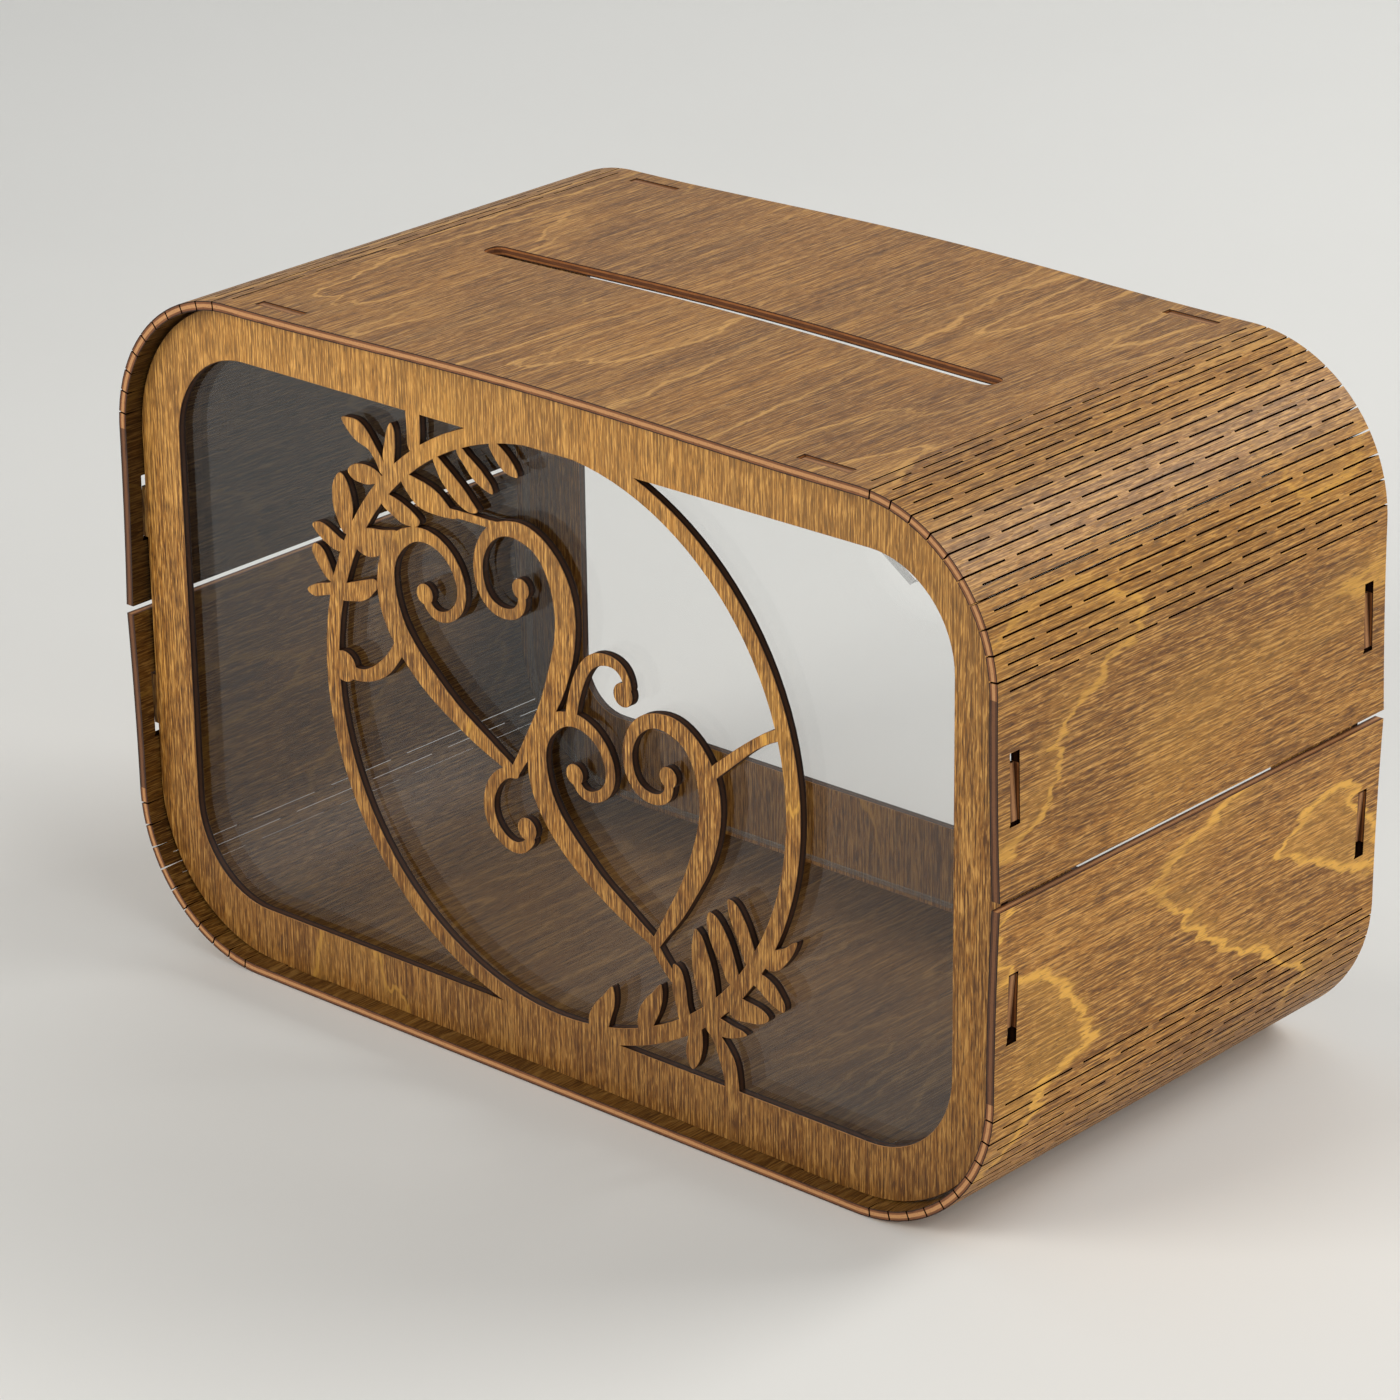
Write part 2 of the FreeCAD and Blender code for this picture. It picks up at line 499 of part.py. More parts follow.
def front_panel():
    body = window(panel_outline("front_frame"), "front_frame", "rail", "window_r")
    orn = doc.addObject("Part::Feature", "wreath_fretwork")
    orn.Shape = fretwork()
    whole = doc.addObject("Part::MultiFuse", "front_panel")
    whole.Shapes = [body, orn]
    whole.Refine = True
    whole.Label = "front_panel"
    whole.Placement = FreeCAD.Placement(V(0, -PANEL_MID + T / 2.0, 0), FreeCAD.Rotation())
    return whole


def back_frame():
    body = window(panel_outline("back_frame"), "back_frame", "back_rail", "back_window_r")
    body.Placement = FreeCAD.Placement(V(0, PANEL_MID + T / 2.0, 0), FreeCAD.Rotation())
    return body


def clear_pane(name, y_back, notch):
    """Clear sheet on the inner face of a panel, a little smaller than the panel."""
    body = new_body(name)
    hx, z0, z1 = W / 2.0 - T - 6.0, T + 3.0, H - T - 3.0
    sk = new_sketch(body, name + "_outline", "XZ_Plane")
    rect(sk, num(-hx, "-(dims.width / 2 - dims.ply - 6)"), num(hx, "dims.width / 2 - dims.ply - 6"),
         num(z0, "dims.ply + 3"), num(z1, "dims.height - dims.ply - 3"))
    base = pad(body, sk, name + "_sheet", "dims.pane")
    doc.recompute()
    fil = body.newObject("PartDesign::Fillet", name + "_corners")
    fil.Base = (base, edges_along_y(base.Shape, lambda p: True))
    fil.setExpression("Radius", "dims.bend_r - dims.ply - 6")
    body.Tip = fil
    doc.recompute()
    if notch:
        # Finger notch in the upper right corner.
        sk = new_sketch(body, name + "_notch", "XZ_Plane")
        quad(sk, [(100.0, 215.25), (134.5, 191.5), (150.0, 207.0), (140.0, 226.0)])
        before = body.Shape.Volume
        pocket_all(body, sk, name + "_notch_cut")
        doc.recompute()
        assert before > body.Shape.Volume + 100, "notch not cut"
    body.Placement = FreeCAD.Placement(V(0, y_back, 0), FreeCAD.Rotation())
    return body


# ---------------------------------------------------------------- assembly
parts = []
parts.append(flat_panel("top_panel", True))
parts.append(flat_panel("bottom_panel", False))
for side, sx in (("left", -1), ("right", 1)):
    for level, up in (("upper", True), ("lower", False)):
        stem = "%s_%s" % (level, side)
        parts.append(sector(stem + "_hinge_a", sx, up, dim("hinge_first"), dim("hinge_mid"), True, True))
        parts.append(sector(stem + "_hinge_b", sx, up, dim("hinge_mid"), dim("hinge_last"), True, True))
        parts.append(side_flap(stem + "_side", sx, up))
parts.append(front_panel())
parts.append(back_frame())
parts.append(clear_pane("front_pane", -PANEL_MID + T / 2.0 + dim("pane"), True))
parts.append(clear_pane("back_pane", PANEL_MID - T / 2.0, False))
doc.recompute()

# ---------------------------------------------------------------- checks and output
for obj in doc.Objects:
    if "Invalid" in obj.State or "Error" in obj.State:
        raise RuntimeError("%s did not build: %s" % (obj.Label, obj.State))
for obj in parts:
    if obj.Shape.isNull() or not obj.Shape.isValid() or len(obj.Shape.Solids) != 1:
        raise RuntimeError("%s is not one valid solid" % obj.Label)
for obj in parts:
    obj.Shape.exportStep("parts/%s.step" % obj.Label)
    b = obj.Shape.BoundBox
    print("%-22s %9.1f mm3  x %7.2f..%7.2f  y %7.2f..%7.2f  z %7.2f..%7.2f" % (
        obj.Label, obj.Shape.Volume, b.XMin, b.XMax, b.YMin, b.YMax, b.ZMin, b.ZMax))
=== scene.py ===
import bpy
import math
import numpy as np
from mathutils import Matrix, Vector


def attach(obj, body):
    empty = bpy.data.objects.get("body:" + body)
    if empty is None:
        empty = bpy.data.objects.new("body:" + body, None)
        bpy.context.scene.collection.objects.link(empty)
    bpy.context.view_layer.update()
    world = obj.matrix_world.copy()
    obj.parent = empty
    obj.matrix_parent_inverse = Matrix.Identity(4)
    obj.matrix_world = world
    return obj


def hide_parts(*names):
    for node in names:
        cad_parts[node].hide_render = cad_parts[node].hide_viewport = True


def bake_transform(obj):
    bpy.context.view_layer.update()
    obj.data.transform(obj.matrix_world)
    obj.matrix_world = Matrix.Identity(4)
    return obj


# Card box of stained 3 mm plywood. The two half-shells are thin bent sheets with real
# kerfs at the living-hinge corners, the fretwork front and the back frame are plates with
# softened edges, and a clear pane lies behind each.

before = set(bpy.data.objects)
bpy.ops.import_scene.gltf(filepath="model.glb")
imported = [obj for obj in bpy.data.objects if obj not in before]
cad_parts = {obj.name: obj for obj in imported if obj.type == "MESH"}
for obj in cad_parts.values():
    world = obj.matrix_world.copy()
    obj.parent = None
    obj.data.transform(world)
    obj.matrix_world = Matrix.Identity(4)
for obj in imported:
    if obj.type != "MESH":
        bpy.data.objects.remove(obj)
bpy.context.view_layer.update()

MM = 0.001
W, D, H = 345.0, 180.0, 220.0
T = 3.0
R = 50.0
CX = W / 2 - R
SEAM = 2.8
PANEL_MID = D / 2 - 6.2 - T / 2


# ------------------------------------------------------------------ node helpers
class Nodes:
    """Short names for building a material's node tree."""

    def __init__(self, name):
        self.mat = bpy.data.materials.new(name)
        self.mat.use_nodes = True
        self.nt = self.mat.node_tree
        self.nt.nodes.clear()
        self.out = self.add("ShaderNodeOutputMaterial")

    def add(self, kind, **props):
        n = self.nt.nodes.new(kind)
        for k, v in props.items():
            setattr(n, k, v)
        return n

    def put(self, socket, value):
        if hasattr(value, "is_output"):
            self.nt.links.new(value, socket)
        else:
            socket.default_value = value

    def math(self, op, a, b=None, c=None, clamp=False):
        n = self.add("ShaderNodeMath", operation=op, use_clamp=clamp)
        for s, v in zip(n.inputs, (a, b, c)):
            if v is not None:
                self.put(s, v)
        return n.outputs[0]

    def mix(self, fac, a, b, mode="MIX"):
        n = self.add("ShaderNodeMix", data_type="RGBA", blend_type=mode)
        self.put(n.inputs[0], fac)
        self.put(n.inputs[6], a)
        self.put(n.inputs[7], b)
        return n.outputs[2]

    def ramp(self, fac, lo, hi, smooth=True, to=(0.0, 1.0)):
        n = self.add("ShaderNodeMapRange", interpolation_type="SMOOTHSTEP" if smooth else "LINEAR", clamp=True)
        self.put(n.inputs[0], fac)
        n.inputs[1].default_value, n.inputs[2].default_value = lo, hi
        n.inputs[3].default_value, n.inputs[4].default_value = to
        return n.outputs[0]

    def xyz(self, x, y, z):
        n = self.add("ShaderNodeCombineXYZ")
        for s, v in zip(n.inputs, (x, y, z)):
            self.put(s, v)
        return n.outputs[0]

    def split(self, v):
        n = self.add("ShaderNodeSeparateXYZ")
        self.put(n.inputs[0], v)
        return n.outputs

    def noise(self, vec, scale, detail=2.0, rough=0.5, distort=0.0, kind="FBM"):
        n = self.add("ShaderNodeTexNoise", noise_dimensions="3D")
        n.noise_type = kind
        self.put(n.inputs["Vector"], vec)
        n.inputs["Scale"].default_value = scale
        n.inputs["Detail"].default_value = detail
        n.inputs["Roughness"].default_value = rough
        n.inputs["Distortion"].default_value = distort
        return n.outputs["Fac"]

    def scaled(self, vec, x, y, z, ox=0.0, oy=0.0, oz=0.0):
        n = self.add("ShaderNodeMapping", vector_type="POINT")
        self.put(n.inputs["Vector"], vec)
        n.inputs["Scale"].default_value = (x, y, z)
        n.inputs["Location"].default_value = (ox, oy, oz)
        return n.outputs[0]

    def bump(self, height, distance, strength=1.0, normal=None):
        n = self.add("ShaderNodeBump")
        n.inputs["Strength"].default_value = strength
        n.inputs["Distance"].default_value = distance
        self.put(n.inputs["Height"], height)
        if normal is not None:
            self.put(n.inputs["Normal"], normal)
        return n.outputs[0]


def srgb(r, g, b):
    def lin(c):
        c /= 255.0
        return c / 12.92 if c <= 0.04045 else ((c + 0.055) / 1.055) ** 2.4
    return (lin(r), lin(g), lin(b), 1.0)


# ------------------------------------------------------------------ materials
def veneer(k, grain, seed, tones, figures, lively=1.0):
    """Stained rotary-cut veneer. grain is (across, along, depth) in metres. Each figure is a set
    of growth-ring lines: (across, along, levels, width in mm, strength, mask, tone). lively
    scales the flecks. Returns colour, roughness and a height for the fibres."""
    low, dull, warm, pale, gold = tones
    gx, gy, gz = k.split(grain)
    # broad, slow change of tone along the fibres
    broad = k.noise(k.scaled(grain, 24.0, 7.0, 20.0, seed, seed * 0.7, 0.0), 1.0, 3.0, 0.55)
    # short flecks, long streaks, fine fibre lines and open pores
    fleck = k.noise(k.scaled(grain, 1700.0, 170.0, 300.0, 3.0 + seed, 1.0, 0.0), 1.0, 2.0, 0.6, 0.3)
    cloud = k.noise(k.scaled(grain, 420.0, 60.0, 200.0, 8.0, 3.0 + seed, 0.0), 1.0, 3.0, 0.6)
    streak = k.noise(k.scaled(grain, 260.0, 9.0, 100.0, 1.0 + seed, 4.0, 0.0), 1.0, 3.0, 0.6, 0.2)
    fibre = k.noise(k.scaled(grain, 2300.0, 34.0, 500.0, 9.0, 5.0 + seed, 0.0), 1.0, 1.0, 0.5)
    pore = k.ramp(k.noise(k.scaled(grain, 2100.0, 260.0, 400.0, 17.0, 2.0 + seed, 0.0), 1.0, 1.0, 0.5), 0.62, 0.70)

    col = k.mix(k.ramp(broad, 0.34, 0.66), dull, warm)
    col = k.mix(k.math("MULTIPLY", k.ramp(streak, 0.48, 0.68), 0.36), col, low)
    col = k.mix(k.math("MULTIPLY", k.ramp(streak, 0.48, 0.32), 0.22), col, pale)
    col = k.mix(k.math("MULTIPLY", k.ramp(cloud, 0.46, 0.70), 0.22), col, low)
    col = k.mix(k.math("MULTIPLY", k.math("MULTIPLY", k.ramp(fleck, 0.50, 0.63), 0.66), lively), col, low)
    col = k.mix(k.math("MULTIPLY", k.math("MULTIPLY", k.ramp(fleck, 0.48, 0.35), 0.52), lively), col, pale)
    col = k.mix(k.math("MULTIPLY", k.ramp(fibre, 0.50, 0.65), 0.50), col, low)
    col = k.mix(k.math("MULTIPLY", k.ramp(fibre, 0.48, 0.33), 0.44), col, pale)
    # growth-ring lines: level lines of a slow surface, of even width, ragged along the fibres
    shift = k.math("MULTIPLY", k.math("SUBTRACT", k.noise(k.scaled(grain, 120.0, 20.0, 1.0, seed, 2.0), 1.0, 3.0, 0.68), 0.5), 0.034)
    sway = k.math("MULTIPLY", k.math("SUBTRACT", k.noise(k.scaled(grain, 60.0, 34.0, 1.0, 4.0, seed), 1.0, 3.0, 0.6), 0.5), 0.012)
    ragged = k.xyz(k.math("ADD", gx, sway), k.math("ADD", gy, k.math("ADD", shift, sway)), gz)
    broken = k.ramp(k.noise(k.scaled(grain, 900.0, 70.0, 1.0, 21.0, seed), 1.0, 2.0, 0.6), 0.34, 0.56, to=(0.45, 1.0))
    for n, (ax, al, levels, width, strength, mask, tone) in enumerate(figures):
        def field(vec, dx=0.0, dy=0.0):
            return k.noise(k.scaled(vec, ax, al, 1.0, 2.0 + seed * 1.3 + 5.0 * n + dx * ax, 7.0 + seed + dy * al), 1.0, 1.0, 0.4)
        here = field(grain)
        dx = k.math("SUBTRACT", field(grain, 0.001, 0.0), here)
        dy = k.math("SUBTRACT", field(grain, 0.0, 0.001), here)
        slope = k.math("SQRT", k.math("ADD", k.math("MULTIPLY", dx, dx), k.math("MULTIPLY", dy, dy)))
        ring = k.math("FRACT", k.math("MULTIPLY", field(ragged), levels))
        away = k.math("DIVIDE", k.math("ABSOLUTE", k.math("SUBTRACT", ring, 0.5)),
                      k.math("ADD", k.math("MULTIPLY", slope, levels), 0.006))
        line = k.math("MULTIPLY", k.ramp(away, width, width * 0.3), broken)
        side = k.math("MULTIPLY", k.ramp(ring, 0.15, 0.50), k.ramp(ring, 0.56, 0.50))
        col = k.mix(k.math("MULTIPLY", k.math("MULTIPLY", side, mask), 0.25 * strength), col, tone)
        col = k.mix(k.math("MULTIPLY", k.math("MULTIPLY", line, mask), strength), col, tone)
    col = k.mix(k.math("MULTIPLY", pore, 0.42), col, (low[0] * 0.5, low[1] * 0.46, low[2] * 0.42, 1.0))
    rough = k.math("ADD", 0.38, k.math("MULTIPLY", fleck, 0.20))
    height = k.math("SUBTRACT", k.math("ADD", k.math("MULTIPLY", fleck, -0.5), k.math("MULTIPLY", fibre, 0.3)),
                    k.math("MULTIPLY", pore, 0.8))
    return col, rough, height


TONES = (srgb(76, 43, 10), srgb(138, 88, 27), srgb(165, 109, 36), srgb(230, 174, 92), srgb(222, 166, 70))


def principled(k, colour, rough, normal=None, spec=0.42):
    p = k.add("ShaderNodeBsdfPrincipled")
    k.put(p.inputs["Base Color"], colour)
    k.put(p.inputs["Roughness"], rough)
    p.inputs["Specular IOR Level"].default_value = spec
    p.inputs["IOR"].default_value = 1.47
    if normal is not None:
        k.put(p.inputs["Normal"], normal)
    k.put(k.out.inputs["Surface"], p.outputs[0])
    return p


def shell_face(name, seed, dim=1.0, flap=0.8, top=0.5, spec=0.4, relief=0.55, bend=0.0):
    """Face of a bent sheet. The mesh's map gives the sheet laid flat, fibres along the depth:
    long ring lines on the flat, closed ones on the flaps. dim darkens every tone (painted shade on the
    inside faces); bend mixes the bends towards the pale tone as a painted highlight."""
    k = Nodes(name)
    uv = k.add("ShaderNodeUVMap", uv_map="UVMap").outputs[0]
    tones = [(c[0] * dim, c[1] * dim, c[2] * dim, 1.0) for c in TONES]
    u, v, w = k.split(uv)
    out = k.math("ABSOLUTE", u)
    patch = k.ramp(k.noise(k.scaled(uv, 10.0, 5.0, 1.0, 31.0, 3.0 + seed), 1.0, 2.0, 0.5), 0.34, 0.50)
    on_flat = k.math("MULTIPLY", k.ramp(out, 0.185, 0.125), patch)
    on_flap = k.math("MULTIPLY", k.ramp(out, 0.150, 0.200), k.ramp(patch, 0.0, 1.0, to=(0.3, 1.0)))
    figures = [(21.0, 2.4, 11.0, 1.0, top, on_flat, tones[3]), (13.0, 7.0, 4.0, 1.6, flap, on_flap, tones[4])]
    col, rough, h = veneer(k, uv, seed, tones, figures, k.ramp(out, 0.100, 0.150, to=(0.60, 1.0)))
    # painted highlight: the bends are mixed a little towards the pale tone, in place of the light catching the curves
    bent = k.math("MULTIPLY", k.ramp(out, 0.128, 0.150), k.ramp(out, 0.208, 0.188))
    col = k.mix(k.math("MULTIPLY", bent, bend), col, tones[3])
    principled(k, col, rough, k.bump(h, 0.00022, relief), spec=spec)
    return k.mat


def panel_face(name, seed):
    """Face of an upright panel, fibres upright, with painted shade darkening it towards the bottom and the right and
    painted light paling its top.
    """
    k = Nodes(name)
    x, y, z = k.split(k.add("ShaderNodeTexCoord").outputs["Object"])
    grain = k.xyz(x, z, k.math("MULTIPLY", y, 0.4))
    patch = k.ramp(k.noise(k.scaled(grain, 9.0, 5.0, 1.0, 12.0, seed), 1.0, 2.0, 0.5), 0.50, 0.60)
    col, rough, h = veneer(k, grain, seed, TONES, [(13.0, 7.0, 3.5, 1.1, 0.7, patch, TONES[4])], 1.25)
    # painted shade towards the bottom, painted light along the top and painted shade towards the right, in place of
    # the fall of the light across the panel
    col = k.mix(k.ramp(z, 0.12, 0.01, smooth=False, to=(0.0, 0.42)), col, TONES[0])
    col = k.mix(k.ramp(z, 0.13, 0.20, smooth=False, to=(0.0, 0.16)), col, TONES[3])
    col = k.mix(k.ramp(x, 0.06, 0.17, smooth=False, to=(0.0, 0.10)), col, TONES[0])
    principled(k, col, rough, k.bump(h, 0.00022, 0.55))
    return k.mat


def cut_edge(name, across, along, body, border, core, line_at=0.5, spec=0.35):
    """A laser-cut plywood edge: scorched arrises, three plies between them."""
    k = Nodes(name)
    t, s = across(k), along(k)
    vec = k.xyz(s, k.math("MULTIPLY", t, 0.003), 0.0)
    soot = k.noise(k.scaled(vec, 130.0, 900.0, 1.0), 1.0, 4.0, 0.65)
    fine = k.noise(k.scaled(vec, 1400.0, 1700.0, 1.0, 3.0), 1.0, 3.0, 0.6)
    wob = k.math("ADD", t, k.math("MULTIPLY", k.math("SUBTRACT", soot, 0.5), 0.10))
    middle = k.math("SUBTRACT", 1.0, k.ramp(k.math("ABSOLUTE", k.math("SUBTRACT", wob, line_at)), 0.15, 0.21))
    col = k.mix(k.ramp(soot, 0.35, 0.68), body, (body[0] * 0.62, body[1] * 0.58, body[2] * 0.55, 1.0))
    col = k.mix(k.math("MULTIPLY", middle, 0.75), col, core)
    burn = k.ramp(k.math("ABSOLUTE", k.math("SUBTRACT", wob, 0.5)), 0.33, 0.43)
    col = k.mix(k.math("MULTIPLY", burn, 0.95), col, border)
    col = k.mix(k.math("MULTIPLY", k.ramp(fine, 0.50, 0.75), 0.35), col, border)
    principled(k, col, 0.62, k.bump(fine, 0.00015, 0.5), spec=spec)
    return k.mat


def uv_part(axis, scale=1.0):
    def get(k):
        uv = k.add("ShaderNodeUVMap", uv_map="UVMap").outputs[0]
        return k.math("MULTIPLY", k.split(uv)[axis], scale)
    return get


# bend=0.12 on the upper shell is the painted highlight on its bends
shell_top = shell_face("plywood_shell_upper", 2.3, dim=0.92, flap=0.7, top=0.58, bend=0.12)
shell_low = shell_face("plywood_shell_lower", 11.7, flap=1.0, top=0.75)
# the inside faces are the outside veneer with painted shade: dim 0.19 inside the upper shell, 0.40 inside the lower
shell_in_top = shell_face("plywood_inside_upper_painted_shade", 8.6, dim=0.19, flap=0.4, top=0.4, spec=0.2, relief=0.2)
shell_in_low = shell_face("plywood_inside_lower_painted_shade", 5.1, dim=0.40, flap=0.4, top=0.4, spec=0.2, relief=0.2)
thick, run = uv_part(1, 1 / 0.003), uv_part(0)
edge_mat = cut_edge("plywood_edge", thick, run, srgb(134, 85, 51), srgb(36, 17, 9), srgb(204, 150, 98))
# the upright front and back edges of the side flaps are a copy of the cut edge with painted shade, much darker than
# the others
upright_edge_painted_shade = cut_edge("plywood_edge_upright", thick, run, srgb(84, 52, 32), srgb(24, 13, 8), srgb(122, 80, 50))
# kerf and slot walls: scorched by the laser, and painted near-black as shade inside the narrow cuts
kerf_scorch_and_shade = cut_edge("plywood_kerf", thick, run, srgb(30, 16, 9), srgb(11, 6, 4), srgb(44, 25, 13), spec=0.0)
slot_mat = cut_edge("plywood_slot", thick, run, srgb(164, 103, 52), srgb(36, 15, 6), srgb(66, 32, 14))
front_face = panel_face("plywood_front", 4.2)
back_face = panel_face("plywood_back", 19.0)


def plate_edge(name, y_mid, body, border, core):
    """Cut edge of an upright panel; the thickness runs along Y."""
    def across(k):
        y = k.split(k.add("ShaderNodeTexCoord").outputs["Object"])[1]
        return k.math("ADD", k.math("MULTIPLY", k.math("SUBTRACT", y, y_mid), 1 / 0.003), 0.5)

    def along(k):
        x, y, z = k.split(k.add("ShaderNodeTexCoord").outputs["Object"])
        return k.math("ADD", x, k.math("MULTIPLY", z, 1.37))
    return cut_edge(name, across, along, body, border, core)


# the cut walls of the fretwork and the back frame are scorched, and painted far darker than the shell's cut edges as
# painted shade in the deep cuts; the tab ends are not darkened
front_edge_scorch_and_shade = plate_edge("plywood_front_edge", -PANEL_MID * MM, srgb(40, 21, 11), srgb(14, 8, 5), srgb(74, 44, 23))
back_edge_scorch_and_shade = plate_edge("plywood_back_edge", PANEL_MID * MM, srgb(40, 21, 11), srgb(14, 8, 5), srgb(74, 44, 23))
front_tab = plate_edge("plywood_front_tab", -PANEL_MID * MM, srgb(138, 94, 58), srgb(56, 32, 17), srgb(174, 124, 80))
back_tab = plate_edge("plywood_back_tab", PANEL_MID * MM, srgb(138, 94, 58), srgb(56, 32, 17), srgb(174, 124, 80))


def rim(name, seed):
    """Softened arris of a panel: the stain is a little thinner there."""
    k = Nodes(name)
    pos = k.add("ShaderNodeTexCoord").outputs["Object"]
    n = k.noise(k.scaled(pos, 300.0, 300.0, 300.0, seed), 1.0, 3.0, 0.6)
    principled(k, k.mix(k.ramp(n, 0.3, 0.7), srgb(120, 78, 36), srgb(168, 116, 60)), 0.5)
    return k.mat


front_rim = rim("plywood_front_arris", 1.0)
back_rim = rim("plywood_back_arris", 7.0)


def clear(name):
    """Clear acrylic: lets light through, mirrors a little more at a slant."""
    k = Nodes(name)
    pos = k.add("ShaderNodeTexCoord").outputs["Object"]
    wav = k.noise(k.scaled(pos, 9.0, 9.0, 9.0), 1.0, 2.0, 0.4)
    normal = k.bump(wav, 0.0006, 0.25)
    see = k.add("ShaderNodeBsdfTransparent")
    see.inputs[0].default_value = (0.982, 0.984, 0.984, 1.0)
    shine = k.add("ShaderNodeBsdfGlossy")
    shine.inputs["Color"].default_value = (1.0, 1.0, 1.0, 1.0)
    shine.inputs["Roughness"].default_value = 0.03
    k.put(shine.inputs["Normal"], normal)
    facing = k.add("ShaderNodeLayerWeight")
    facing.inputs["Blend"].default_value = 0.5
    slant = k.math("POWER", facing.outputs["Facing"], 5.0)
    fres = k.math("ADD", k.math("MULTIPLY", slant, 0.96), 0.030)
    m = k.add("ShaderNodeMixShader")
    k.put(m.inputs[0], fres)
    k.put(m.inputs[1], see.outputs[0])
    k.put(m.inputs[2], shine.outputs[0])
    k.put(k.out.inputs["Surface"], m.outputs[0])
    return k.mat


def clear_edge(name):
    """Cut edge of the acrylic: frosted and pale, faintly streaked by the cut."""
    k = Nodes(name)
    pos = k.add("ShaderNodeTexCoord").outputs["Object"]
    n = k.noise(k.scaled(pos, 700.0, 60.0, 700.0), 1.0, 3.0, 0.6)
    p = principled(k, k.mix(k.ramp(n, 0.3, 0.7), srgb(120, 124, 124), srgb(176, 180, 180)), 0.25)
    p.inputs["Alpha"].default_value = 0.4
    return k.mat


pane_mat = clear("acrylic_clear")
pane_edge = clear_edge("acrylic_edge")


# ------------------------------------------------------------------ mesh helpers
def finish_mesh(name, verts, faces, slots, uvs, mats):
    me = bpy.data.meshes.new(name)
    me.from_pydata([tuple(c * MM for c in v) for v in verts], [], faces)
    for m in mats:
        me.materials.append(m)
    me.polygons.foreach_set("material_index", np.array(slots, np.int32))
    if uvs is not None:
        layer = me.uv_layers.new(name="UVMap")
        flat = np.array([c for f in uvs for p in f for c in p], np.float32)
        layer.data.foreach_set("uv", flat)
    me.validate()
    me.update()
    ob = bpy.data.objects.new(name, me)
    bpy.context.collection.objects.link(ob)
    return ob


class Sheet:
    """A thin sheet on a grid of columns and rows, with cells left out for cuts.
    Columns are (outer, inner) pairs of a section coordinate; rows are depths y."""

    def __init__(self, name, cols, rows, gone, point, spread, mats, edge_kind, conform=None):
        self.verts, self.index = [], {}
        self.faces, self.slots, self.uvs = [], [], []
        nc, nr = len(cols) - 1, len(rows) - 1

        def vert(i, j, side):
            key = (i, j, side)
            if key not in self.index:
                u, y = cols[i][side], rows[j]
                if conform:
                    u, y = conform(u, y)
                self.index[key] = len(self.verts)
                self.verts.append(point(u, y, side))
            return self.index[key]

        def flat_uv(i, j, side):
            u, y = cols[i][side], rows[j]
            if conform:
                u, y = conform(u, y)
            return (spread(u) * MM, y * MM)

        def there(i, j):
            return 0 <= i < nc and 0 <= j < nr and (i, j) not in gone

        for i in range(nc):
            for j in range(nr):
                if not there(i, j):
                    continue
                ring = [(i, j), (i + 1, j), (i + 1, j + 1), (i, j + 1)]
                self.faces.append([vert(a, b, 0) for a, b in ring])
                self.uvs.append([flat_uv(a, b, 0) for a, b in ring])
                self.slots.append(0)
                self.faces.append([vert(a, b, 1) for a, b in reversed(ring)])
                self.uvs.append([flat_uv(a, b, 1) for a, b in reversed(ring)])
                self.slots.append(1)
                for (a, b), (c, d), (ni, nj) in (((i, j), (i + 1, j), (i, j - 1)), ((i + 1, j), (i + 1, j + 1), (i + 1, j)),
                                                 ((i + 1, j + 1), (i, j + 1), (i, j + 1)), ((i, j + 1), (i, j), (i - 1, j))):
                    if there(ni, nj):
                        continue
                    self.faces.append([vert(c, d, 0), vert(a, b, 0), vert(a, b, 1), vert(c, d, 1)])
                    sa = spread(cols[a][0]) + rows[b]
                    sc = spread(cols[c][0]) + rows[d]
                    self.uvs.append([(sc * MM, 0.0), (sa * MM, 0.0), (sa * MM, T * MM), (sc * MM, T * MM)])
                    outside = not (0 <= ni < nc and 0 <= nj < nr)
                    self.slots.append(edge_kind(ni, nj, outside, i, j))
        self.ob = finish_mesh(name, self.verts, self.faces, self.slots, self.uvs, mats)


def ordered(points, lo, hi):
    return sorted({round(p, 5) for p in points if lo - 1e-6 <= p <= hi + 1e-6} | {lo, hi})


# ------------------------------------------------------------------ half-shells
FACE, INSIDE, EDGE, KERF, SLOT, UPRIGHT = range(6)
TAB_X, TAB_HALF = 106.4, 17.2 / 2 + 0.45
TAB_HW = T / 2 + 0.42
LINES_A = [6.28 + 8.63 * k for k in range(10)]
LINES_B = [1.965 + 8.63 * k for k in range(11)]
DASH_A = [(0.0, 17.5)] + [(22.5 + 35 * k, 52.5 + 35 * k) for k in range(4)] + [(162.5, 180.0)]
DASH_B = [(5.0 + 35 * k, 35.0 + 35 * k) for k in range(5)]
CROWN = 1.8          # bow of the top between its bends
FLARE = 1.4          # side flaps stand out a little at the seam


def mats_for(upper):
    return [shell_top if upper else shell_low, shell_in_top if upper else shell_in_low, edge_mat, kerf_scorch_and_shade, slot_mat, upright_edge_painted_shade]


